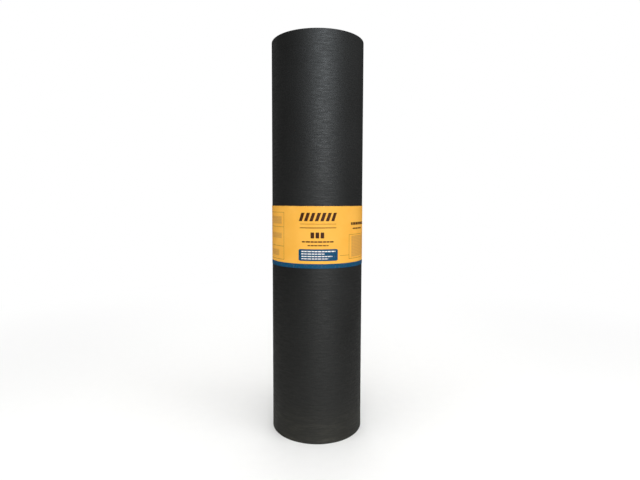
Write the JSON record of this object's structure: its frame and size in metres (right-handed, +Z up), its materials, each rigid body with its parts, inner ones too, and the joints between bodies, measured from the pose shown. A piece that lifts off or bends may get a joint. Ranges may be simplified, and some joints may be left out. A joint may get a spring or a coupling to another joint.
{
  "type": "roll of roofing felt",
  "caption": "Upright cylindrical roll of dark bitumen-saturated roofing felt with a through bore, held closed by a paper label band round its middle.",
  "frame": {"origin": "centre of the roll's lower end, on the floor it stands on", "axes": "+Z up along the roll's axis, -Y towards the front of the label"},
  "size_m": [0.2164, 0.2164, 0.9144],
  "materials": {
    "felt": "matte",
    "label_paper": "matte"
  },
  "bodies": {
    "root": {"felt_roll": "felt", "label_band": "label_paper"}
  },
  "joints": []
}
